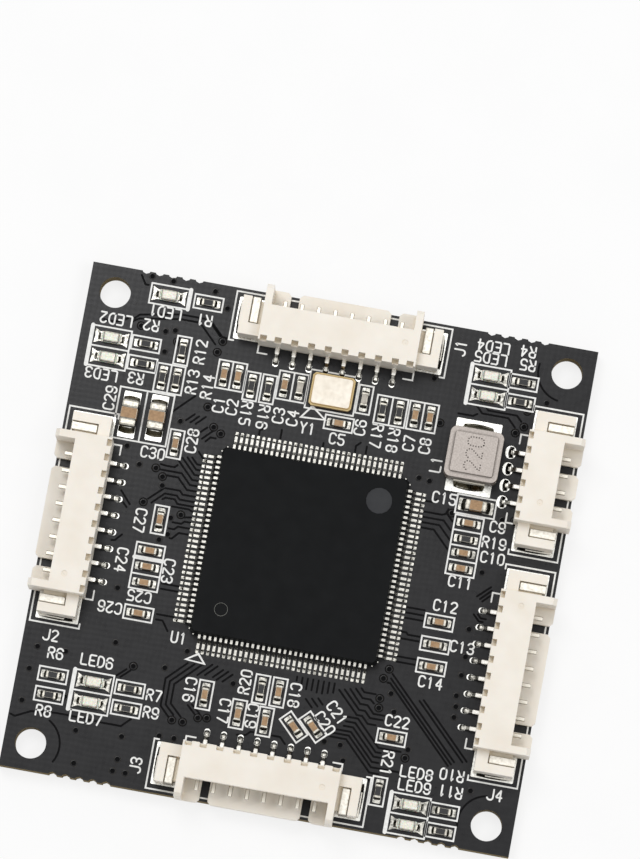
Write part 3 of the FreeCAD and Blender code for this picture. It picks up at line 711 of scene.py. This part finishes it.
work = bmesh.new()
for turn in (0, 90, 180, 270):
    for place in (-tie_bar_place, tie_bar_place):
        matrix = seat(0, 0, turn) @ Matrix.Translation((chip_high.x, place, lead_line))
        stub = Matrix.Diagonal((tie_bar_length, tie_bar_width, tie_bar_width, 1))
        bmesh.ops.create_cube(work, size=1.0, matrix=matrix @ stub)
make_piece("chip_tie_bars", work, [lead_tin], "tinned_metal")


# Board headers: right-angle connectors moulded in natural nylon, open toward the board's edge, with two key
# slots, an ear at each end and stamped, tinned contacts pressed through the rear wall. A bent nail in each
# ear is soldered to a large land and takes the pull of the plug.
headers = {"north_port": (90, -4.85), "west_port": (180, 4.6), "south_port": (270, 4.7),
           "east_port": (0, 4.85), "power_inlet": (0, -1.85)}  # the way each faces, and its gate mark
housing_edge = 0.05
contact_edge = 0.05
nail_edge = 0.08
ear_length = 1.62
gate_setback = 1.65
gate_radii = (0.05, 0.07)
gate_groove = 0.16
gate_depth = 0.06
toe_line = board_top + 0.45
port_pad = (0.22, 0.72, 1.36)  # half width, then the ends behind the rear wall
power_pad = (0.49, 0.68, 1.46)
pad_straight = 0.01
tail_fillet = (0.86, 1.25)  # its ends behind the rear wall
tail_fillet_share, tail_fillet_margin = 0.75, 0.03
tail_climb = 0.26
nail_pad = (0.2, 3.36)  # its ends in front of the rear wall
nail_pad_under, nail_pad_out = 0.2, 0.32
nail_middle = 1.75
nail_fillet_reach = 0.24
nail_fillet_half = 1.1
nail_fillet_spread = 1.05
nail_climb = 0.4
# The legend has a corner behind each end of the rear wall, and a border round the ears.
corner_inset, corner_back, corner_run = 0.05, 0.55, 0.75
border_rear, border_front = 0.05, 3.74
border_start, border_room = 0.25, 0.6


def deepen_recesses(tree, shader, tone, shade_tone, reach_mm, shut, clear):
    """Paints shade into the shader's colour: the tone turns to the shade tone where other faces close in
    within that reach, as shade falls there.
    """
    openness = add_node(tree, "AmbientOcclusion", {"Distance": reach_mm * mm}).outputs["AO"]
    outer = add_node(tree, "MapRange", {"Value": openness, "From Min": shut, "From Max": clear})
    colour = add_node(tree, "Mix", {0: outer.outputs["Result"], 6: shade_tone, 7: tone}, data_type="RGBA")
    tree.links.new(colour.outputs[2], shader.inputs["Base Color"])


def moulded_nylon():
    """Unfilled nylon as it leaves the mould: warm ivory, a little translucent, softly satin, with painted
    shade deepening its tone inside its recesses. The fine texture of its skin is drawn coarser, to show."""
    skin_depth_mm = 0.006
    material, tree, shader, ivory, grain = new_material(
        "moulded_natural_nylon", ("#eee6d9", "#f5efe5"),
        {"Subsurface Weight": 0.12, "Subsurface Scale": 0.4 * mm, "Subsurface Radius": (1.0, 0.8, 0.6)},
        tone=(2.5, 0, 1, 2), rough=(0.5, 0.42, 0.56, 2), skin=(0.12, 0, 1, 2))
    # Painted shade: a darker tan in the recesses stands in for the warm shade inside them.
    deepen_recesses(tree, shader, ivory.outputs[2], "#e2d6c0", reach_mm=0.6, shut=0.3, clear=0.8)
    tree.links.new(grain["rough"], shader.inputs["Roughness"])
    bump = add_node(tree, "Bump", {"Height": grain["skin"], "Strength": 0.15, "Distance": skin_depth_mm * mm})
    tree.links.new(bump.outputs["Normal"], shader.inputs["Normal"])
    return material


def with_gate_mark(work, matrix):
    """The same moulding with the small ring that its gate leaves sunk in the top plate at matrix."""
    groove = ((0, -gate_depth), (gate_groove, -gate_depth), (gate_groove, gate_depth), (0, gate_depth))
    cutter = bmesh.new()
    rims = [[cutter.verts.new(matrix @ Vector((x * (gate_radii[0] + out), y * (gate_radii[1] + out), z)))
             for x, y in ring(0, 0, 1.0)] for out, z in groove]
    for a, b in zip(rims, rims[1:] + rims[:1]):
        for k in range(len(a)):
            n = (k + 1) % len(a)
            cutter.faces.new((a[k], a[n], b[n], b[k]))
    bmesh.ops.recalc_face_normals(cutter, faces=cutter.faces)
    in_hand = []
    for shape in (work, cutter):
        mesh = bpy.data.meshes.new("gate_work")
        shape.to_mesh(mesh)
        shape.free()
        in_hand.append(bpy.data.objects.new("gate_work", mesh))
        bpy.context.scene.collection.objects.link(in_hand[-1])
    moulding, tool = in_hand
    cut = moulding.modifiers.new("gate_mark", "BOOLEAN")
    cut.object = tool
    cut.operation = "DIFFERENCE"
    cut.solver = "EXACT"
    finished = bmesh.new()
    finished.from_object(moulding, bpy.context.evaluated_depsgraph_get())
    for part in in_hand:
        bpy.data.meshes.remove(part.data)
    return finished


# Tin on the drawn wire is painted a soft grey inside the housing, as shade; the tails outside are a copy
# painted brighter, as lit, and shinier, with their toes painted dark on their slopes as shade, in uneven
# patches. The fillets carry a painted reflection of the dark board on their slopes, and the stamped nails
# are matte, with painted shade on their steep edges.
shaded_pin_tin = tinned("pin_tin_painted_shade", "#8b877c", "#c8c3b8", (0.1, 0.7), 0.08, (0.3, 0.45))
lit_tail_tin = tinned("tail_tin_painted_lit", "#bdb9ae", "#efece5", (0.1, 0.7), 0.08, (0.15, 0.28))
shaded_toe_tin = tinned("toe_tin_painted_shade", "#25231d", "#d9d6cc", (0.1, 0.7), 0.9, (0.15, 0.3))
header_solder = tinned("reflowed_header_solder", "#191712", "#f0efe9", (0.9, 0.995), 0.3)
nail_tin = tinned("tin_on_stamped_strip", "#979287", "#d4d0c7", (-0.4, 0.9), 0.45, (0.4, 0.55))
nylon = moulded_nylon()
solder_work, ink_work = bmesh.new(), bmesh.new()
for header, (turn, gate) in headers.items():
    back = seat(0, 0, -turn)
    corners = [back @ (Vector(corner) / mm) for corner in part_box(header + "_housing")]
    middle = (corners[0].y + corners[1].y) / 2
    half = abs(corners[0].y - corners[1].y) / 2
    body = half - ear_length
    rear = min(corner.x for corner in corners)
    matrix = seat(0, 0, turn) @ Matrix.Translation((rear, middle, 0))

    work = softened(header + "_contacts", contact_edge, 1)
    # Painted light: inside the housing the contacts take the shaded tin, above the toe line the copy painted
    # as lit, and below it the toe tone painted dark.
    for face in work.faces:
        spot = back @ face.calc_center_median()
        face.material_index = 0 if spot.x > rear else 1 if spot.z > toe_line else 2
    make_piece(header + "_pins", work, [shaded_pin_tin, lit_tail_tin, shaded_toe_tin], "tinned_metal", header + "_contacts")
    work = softened(header + "_nails", nail_edge)
    make_piece(header + "_anchors", work, [nail_tin], "tinned_metal", header + "_nails")
    gate_place = matrix @ Matrix.Translation((gate_setback, gate, corners[1].z))
    work = with_gate_mark(softened(header + "_housing", housing_edge), gate_place)
    make_piece(header + "_moulding", work, [nylon], "header_nylon", header + "_housing")

    wide, near, far = power_pad if header == "power_inlet" else port_pad
    tail_land = land(near, far, -wide, wide, min(wide, (far - near) / 2) - pad_straight)
    for points in solids(header + "_contacts"):
        contact = place_of(points)
        lane = (back @ Vector((contact.x, contact.y, 0))).y - middle
        tail = matrix @ Matrix.Translation((0, lane, 0)) @ Matrix.Rotation(pi, 4, "Z")
        plate(solder_work, tail_land, tail)
        fillet(solder_work, tail, *tail_fillet, tail_fillet_share * wide + tail_fillet_margin, tail_climb)
    for side in (-1, 1):
        inner, outer = side * (body - nail_pad_under), side * (half + nail_pad_out)
        plate(solder_work, land(*nail_pad, *sorted((inner, outer)), pad_corner), matrix)
        ear = matrix @ Matrix.Translation((nail_middle, 0, 0)) @ Matrix.Rotation(side * pi / 2, 4, "Z")
        fillet(solder_work, ear, half - overlap, half + nail_fillet_reach, nail_fillet_half, nail_climb,
               nail_fillet_spread)
        first = body - corner_inset
        corner_mark = [(0, first), (-corner_back, first), (-corner_back, body - corner_run)]
        border_mark = [(border_rear, half + border_start), (border_rear, half + border_room),
                       (border_front, half + border_room), (border_front, 0)]
        for line in (corner_mark, border_mark):
            points = [(matrix @ Vector((x, side * y, 0))).to_2d() for x, y in line]
            ribbon(ink_work, points, box_stroke, board_top + ink_rise)
make_piece("header_solder", solder_work, [header_solder], "tinned_metal")
make_piece("header_legend", ink_work, [ink], "solder_mask")


# Crystal: a quartz blank sealed in a small fired ceramic tub under a flat metal lid. The lid is welded to a
# gold-plated rim, which shows as a thin line round it, and the tub is soldered to lands that it hides.
tub_edge = 0.04
lid_edge = 0.06


def fired_ceramic():
    """Fired alumina tub: brown at the sides, with the gilt sealing ring on its rim."""
    material, tree, shader, sides, _ = new_material(
        "fired_brown_ceramic", ("#7a5f38", "#997a4c"), {"Roughness": 0.5}, tone=(0.3, 0, 1, 2))
    colour = add_node(tree, "Mix", {0: levelness(tree), 6: sides.outputs[2], 7: "#dcc48c"}, data_type="RGBA")
    tree.links.new(colour.outputs[2], shader.inputs["Base Color"])
    return material


def gold_plate():
    """Thin gold over nickel: pale and satin on the flat, deeper in colour round the edge."""
    material, tree, shader, pale, grain = new_material(
        "rolled_gold_plate", ("#d2cabd", "#dcd6cb"), {"Metallic": 0.6},
        tone=(0.8, 0, 1, 2), rough=(0.3, 0.5, 0.62, 2))
    flat = levelness(tree, 0.9, 0.99)
    colour = add_node(tree, "Mix", {0: flat, 6: "#c2a062", 7: pale.outputs[2]}, data_type="RGBA")
    tree.links.new(colour.outputs[2], shader.inputs["Base Color"])
    tree.links.new(grain["rough"], shader.inputs["Roughness"])
    return material


work = softened("crystal_base", tub_edge)
make_piece("crystal_tub", work, [fired_ceramic()], "crystal_ceramic", "crystal_base")
work = softened("crystal_lid", lid_edge)
make_piece("crystal_cover", work, [gold_plate()], "gold_plate", "crystal_lid")


# Power inductor: a coil pressed inside a block of resin-bonded iron powder, with a raised flat on top for its
# value, printed in dots. Its ends are flat terminals that wrap under the block.
coil = places_in("inductor_core")[0]
coil_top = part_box("inductor_core")[1].z / mm
coil_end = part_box("inductor_terminals")[1].y / mm - coil.y
block_edge = 0.06
clip_edge = 0.03
value_height, value_width, value_pitch = 1.2, 0.66, 0.9
value_dot = 0.055
value_step = 0.2
value_dot_sides = 8
dot_profile = [(0, 0.006), (value_dot, 0.006), (value_dot, -0.004), (0, -0.004)]
coil_pad_under, coil_pad_end = 0.5, 2.75
coil_pad_half = 1.7
coil_overlap = 0.05
coil_fillet_end = 2.5
coil_fillet_half = 1.2
coil_fillet_spread = 0.9
coil_climb = 0.6


def pressed_powder(name, dark, light):
    """Resin-bonded iron powder: matte, with a dark grey-brown painted on its steep sides and a darker tone in
    its corners as shade, and a speckle drawn coarser than the grain.
    """
    speck_depth_mm = 0.01
    material, tree, shader, speckled, grain = new_material(
        name, (dark, light), {"Roughness": 0.6}, tone=(0.12, 0, 1, 4))
    # Painted shade: steep sides take a fixed dark grey-brown, and recesses a darker tone still, where shadow
    # falls.
    flat = levelness(tree, 0.5, 0.95)
    pressed = add_node(tree, "Mix", {0: flat, 6: "#6d655f", 7: speckled.outputs[2]}, data_type="RGBA")
    deepen_recesses(tree, shader, pressed.outputs[2], "#4d4641", reach_mm=0.3, shut=0.55, clear=0.85)
    bump = add_node(tree, "Bump", {"Height": grain["tone"], "Strength": 0.3, "Distance": speck_depth_mm * mm})
    tree.links.new(bump.outputs["Normal"], shader.inputs["Normal"])
    return material


# The block is a warm light grey and the ink on it a soft dark brown; the block is painted darker on its steep
# sides and both in their corners, as shade. Matte tin plate dulls the terminals, whose slopes are painted
# darker as shade.
powder = pressed_powder("pressed_powder_block", "#b4aaa3", "#cec5be")
dot_ink = pressed_powder("jetted_marking_ink", "#47403b", "#5a524c")
matte_tin = tinned("matte_tin_plate", "#8b877c", "#cfcabe", (0.3, 0.95), 0.08, (0.35, 0.5))
work = softened("inductor_core", block_edge)
make_piece("inductor_block", work, [powder], "pressed_iron_powder", "inductor_core")
work = softened("inductor_terminals", clip_edge, 1)
make_piece("inductor_clips", work, [matte_tin], "tinned_metal", "inductor_terminals")
work = bmesh.new()
for stroke in lettering("220", coil.x, coil.y, upward, value_height, value_width, value_pitch):
    left = 0.0
    for a, b in zip(stroke, stroke[1:]):
        span = (b - a).length
        while left < span:
            lathe(work, *(a + (b - a) * left / span), coil_top, dot_profile, [0, 0, 0], value_dot_sides)
            left += value_step
        left -= span
make_piece("inductor_value", work, [dot_ink], "pressed_iron_powder")
work = bmesh.new()
for end in (90, 270):
    matrix = seat(coil.x, coil.y, end)
    outline = land(coil_end - coil_pad_under, coil_pad_end, -coil_pad_half, coil_pad_half, pad_corner)
    plate(work, outline, matrix)
    fillet(work, matrix, coil_end - coil_overlap, coil_fillet_end, coil_fillet_half, coil_climb,
           coil_fillet_spread)
make_piece("inductor_solder", work, [solder], "tinned_metal")


# Lamps: light-emitting diodes on a small board with plated ends, the die cast over in clear resin filled
# with phosphor. Nine of them sit in rows beside the headers, soldered by their ends.
lamp_base_inset, lamp_base_height, lamp_base_edge = 0.1, 0.24, 0.03
lamp_cap_length, lamp_cap_inset, lamp_cap_height, lamp_cap_edge = 0.14, 0.16, 0.25, 0.04
lens_half_length, lens_inset, lens_start, lens_edge = 0.58, 0.01, 0.15, 0.12


def soft_block(work, low, high, edge, material, matrix):
    """A block with rounded edges between two corners, whose heights count from the board."""
    low, high = Vector(low) + Vector((0, 0, board_top)), Vector(high) + Vector((0, 0, board_top))
    place = matrix @ Matrix.Translation((high + low) / 2) @ Matrix.Diagonal((*(high - low), 1))
    made = bmesh.ops.create_cube(work, size=1.0, matrix=place)["verts"]
    for face in {f for v in made for f in v.link_faces}:
        face.material_index = material
    edges = sorted({e for v in made for e in v.link_edges}, key=lambda e: e.index)
    bmesh.ops.bevel(work, geom=edges, offset=edge, segments=2, profile=0.5, affect="EDGES",
                    clamp_overlap=True)


def end_caps(work, half_length, cap, half_width, height, edge, matrix):
    """A plated cap with rounded edges at each end of a part."""
    for end in (-1, 1):
        x0, x1 = sorted((end * half_length, end * (half_length - cap)))
        soft_block(work, (x0, -half_width, 0), (x1, half_width, height), edge, 0, matrix)


# Cast resin is a milky cream, sparkling a little with phosphor, whose grain is drawn some times coarser.
# Tin dipped over the end caps is silver on their flats and painted dark where they turn down, as shade.
resin = new_material(
    "cast_lamp_resin", ("#dddbc9", "#fdfbf2"),
    {"Roughness": 0.3, "Subsurface Weight": 0.3, "Subsurface Scale": 0.3 * mm}, tone=(0.1, 0, 1, 3))[0]
dipped_tin = tinned("dipped_tin_end_cap", "#2f2d28", "#c4c0b5", (0.5, 0.96), 0.45, (0.3, 0.45))
for i, (x, y, turn, half_length, half_width, height) in enumerate(lamps, 1):
    work = bmesh.new()
    matrix = seat(x, y, turn)
    base_half = half_length - lamp_base_inset
    soft_block(work, (-base_half, -half_width, 0), (base_half, half_width, lamp_base_height),
               lamp_base_edge, 1, matrix)
    end_caps(work, half_length, lamp_cap_length, half_width - lamp_cap_inset, lamp_cap_height,
             lamp_cap_edge, matrix)
    lens_half = half_width - lens_inset
    soft_block(work, (-lens_half_length, -lens_half, lens_start), (lens_half_length, lens_half, height),
               lens_edge, 1, matrix)
    make_piece("lamp_%d" % i, work, [dipped_tin, resin], "led_resin", "led_%d" % i)


# Chip resistors: small ceramic chips with a printed resistive film on top, covered by a fired glaze that is
# nearly black. Each end is dipped in tin, and solder holds it to its pad.
small_caps = (0.18, 0.05)  # how long each cap is, and how round
chip_inset = 0.02
chip_lap = 0.03
chip_round = 0.03


def chip_part(work, place, cap, edge, body):
    """Two plated caps with rounded edges and, a little inside them, the block between."""
    x, y, turn, half_length, half_width, height = place
    matrix = seat(x, y, turn)
    end_caps(work, half_length, cap, half_width, height, edge, matrix)
    inner, side = half_length - cap + chip_lap, half_width - chip_inset
    soft_block(work, (-inner, -side, chip_inset), (inner, side, height - chip_inset), chip_round, body,
               matrix)


def fired_coat(name, dark, light, rough):
    """A fired glass or ceramic surface with a fine uneven grain."""
    return new_material(name, (dark, light), {"Roughness": rough}, tone=(0.2, 0, 1, 2))[0]


# Fired glaze over the film is black with a dull shine.
glaze = fired_coat("fired_resistor_glaze", "#0d0d0e", "#18181a", 0.6)
for i, place in enumerate(resistors, 1):
    work = bmesh.new()
    chip_part(work, place, *small_caps, 1)
    make_piece("chip_resistor_%d" % i, work, [dipped_tin, glaze], "resistor_glaze", "resistor_%d" % i)


# Capacitors: stacks of sintered ceramic and metal layers, tan or grey with the kind of ceramic, with plated
# end caps that are wider on the two large supply parts. Solder holds the caps to the pads.
filter_caps = (0.35, 0.1)
supply_caps = (0.62, 0.16)
pale_zone = 3.0
# Sintered ceramic is smooth and half matte: tan in most kinds, a warm grey in those beside the crystal.
brown = fired_coat("sintered_tan_dielectric", "#91704c", "#ae8b64", 0.5)
grey = fired_coat("sintered_grey_dielectric", "#a8a297", "#c4beb3", 0.5)
capacitors = (("north_capacitors", north, small_caps), ("east_capacitors", east, small_caps),
              ("south_capacitors", south, small_caps), ("west_capacitors", west, small_caps),
              ("filter_capacitor", filters, filter_caps), ("supply_capacitor_1", supply[:1], supply_caps),
              ("supply_capacitor_2", supply[1:], supply_caps))
for node, parts, caps in capacitors:
    work = bmesh.new()
    for place in parts:
        pale = node == "north_capacitors" and place.turn == upward and abs(place.x) < pale_zone
        chip_part(work, place, *caps, 2 if pale else 1)
    make_piece(node + "_fitted", work, [dipped_tin, brown, grey], "capacitor_ceramic", node)


# Stage: a plain pale floor under the board, soft studio light from above its far left and its right, and
# a white surround. A long lens looks almost straight down, turned a little against the board's edges.
floor_drop = 0.02
floor_half = 1500.0
floor_glow = 0.8
surround_light = 0.48
softboxes = {"far_left_softbox": ((-110, 150, 400), 180, 0.69),  # place, size and power in watts
             "right_softbox": ((200, 0, 360), 160, 0.335)}
image_height = 859
focal_pixels = 6524.7
sensor_height = 36.0
lens_clearance = 10.0
camera_place = Vector((11.98, -53.84, 479.27))
camera_right = Vector((0.98386, 0.17892, -0.00139))
camera_back = Vector((0.02535, -0.13168, 0.99097)).normalized()

work = bmesh.new()
for x, y in ((-1, -1), (1, -1), (1, 1), (-1, 1)):
    work.verts.new((x * floor_half * mm, y * floor_half * mm, -floor_drop * mm))
work.faces.new(work.verts)
floor_mesh = bpy.data.meshes.new("studio_floor")
work.to_mesh(floor_mesh)
work.free()
floor = bpy.data.objects.new("studio_floor", floor_mesh)
bpy.context.scene.collection.objects.link(floor)


def seen_directly(tree):
    """One for rays from the camera, off gloss and through clear material, else none."""
    path = add_node(tree, "LightPath").outputs
    seen = add_node(tree, "Math", {0: path["Is Camera Ray"], 1: path["Is Glossy Ray"]}).outputs[0]
    seen = add_node(tree, "Math", {0: seen, 1: path["Is Transmission Ray"]}, use_clamp=True)
    return seen.outputs[0]


def white_paper():
    """Matte white paper: seen almost as bright as the surround, yet it takes the board's shadow."""
    material, tree, shader, *_ = new_material(
        "white_paper_floor", ("#f2f2f2", "#f8f8f8"), {"Roughness": 0.9}, tone=(6.0, 0, 1, 2))
    glow = add_node(tree, "Emission", {"Color": "#ffffff", "Strength": 1.0})
    share = add_node(tree, "Math", {0: seen_directly(tree), 1: floor_glow}, operation="MULTIPLY")
    mixed = add_node(tree, "MixShader", {0: share.outputs[0], 1: shader.outputs[0], 2: glow.outputs[0]})
    tree.links.new(mixed.outputs[0], tree.nodes["Material Output"].inputs["Surface"])
    return material


floor_mesh.materials.append(white_paper())

world = bpy.data.worlds.new("white_surround")
bpy.context.scene.world = world
world.use_nodes = True
tree = world.node_tree
strength = add_node(tree, "MapRange", {"Value": seen_directly(tree), "To Min": surround_light, "To Max": 1.0})
tree.links.new(strength.outputs["Result"], tree.nodes["Background"].inputs["Strength"])
tree.nodes["Background"].inputs["Color"].default_value = linear("#ffffff")

for name, (place, size, power) in softboxes.items():
    lamp = bpy.data.lights.new(name, "AREA")
    lamp.shape = "SQUARE"
    lamp.size = size * mm
    lamp.energy = power
    holder = bpy.data.objects.new(name, lamp)
    holder.location = Vector(place) * mm
    holder.rotation_euler = (-Vector(place)).to_track_quat("-Z", "Y").to_euler()
    bpy.context.scene.collection.objects.link(holder)

camera_data = bpy.data.cameras.new("photo_camera")
camera_data.sensor_fit = "VERTICAL"
camera_data.sensor_height = sensor_height
camera_data.lens = focal_pixels * sensor_height / image_height
camera_data.clip_start = lens_clearance * mm
camera = bpy.data.objects.new("photo_camera", camera_data)
camera_up = camera_back.cross(camera_right).normalized()
axes = Matrix((camera_up.cross(camera_back), camera_up, camera_back)).transposed()
camera.matrix_world = Matrix.Translation(camera_place * mm) @ axes.to_4x4()
bpy.context.scene.collection.objects.link(camera)
bpy.context.scene.camera = camera
bpy.context.scene.view_settings.view_transform = "Standard"
